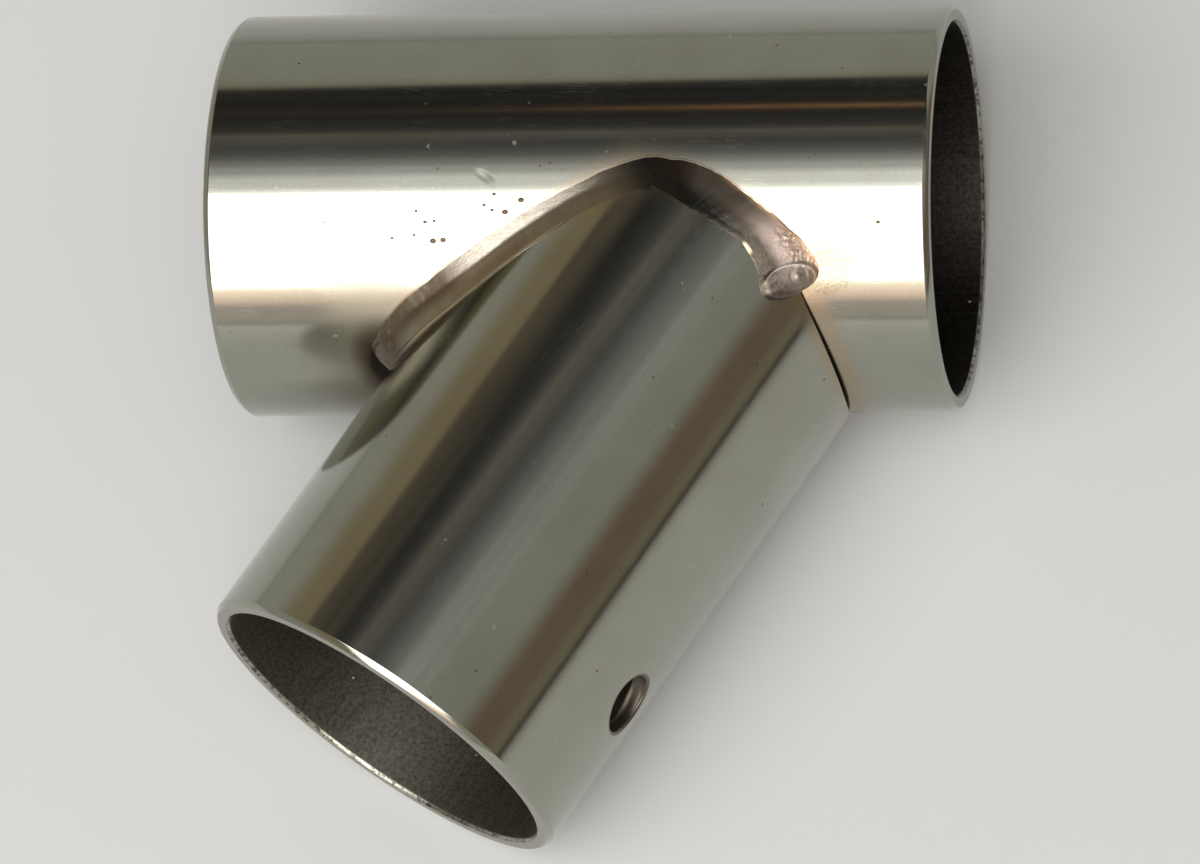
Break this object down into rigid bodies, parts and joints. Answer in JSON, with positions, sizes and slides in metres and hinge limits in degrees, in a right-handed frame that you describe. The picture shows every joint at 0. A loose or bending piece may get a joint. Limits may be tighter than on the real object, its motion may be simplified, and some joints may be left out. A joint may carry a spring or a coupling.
{
  "type": "welded rail tee fitting",
  "caption": "Thin-walled tube fitting: a straight sleeve with a side branch welded on at 60 degrees, drilled and tapped for a grub screw.",
  "frame": {"origin": "crossing of the run tube's axis and the branch's axis", "axes": "+X along the run tube away from the branch's lean; the branch leaves towards -Y and -X; +Z square to both axes, up as the fitting lies on its side"},
  "size_m": [0.05, 0.0597, 0.028],
  "materials": {
    "polished_steel": "polished stainless tube with light handling scratches",
    "weld_metal": "polished weld bead, last dabs left as they froze"
  },
  "bodies": {
    "root": {"run_tube": "polished_steel", "branch_tube": "polished_steel", "weld_upper": "weld_metal", "weld_lower": "weld_metal"}
  },
  "joints": []
}
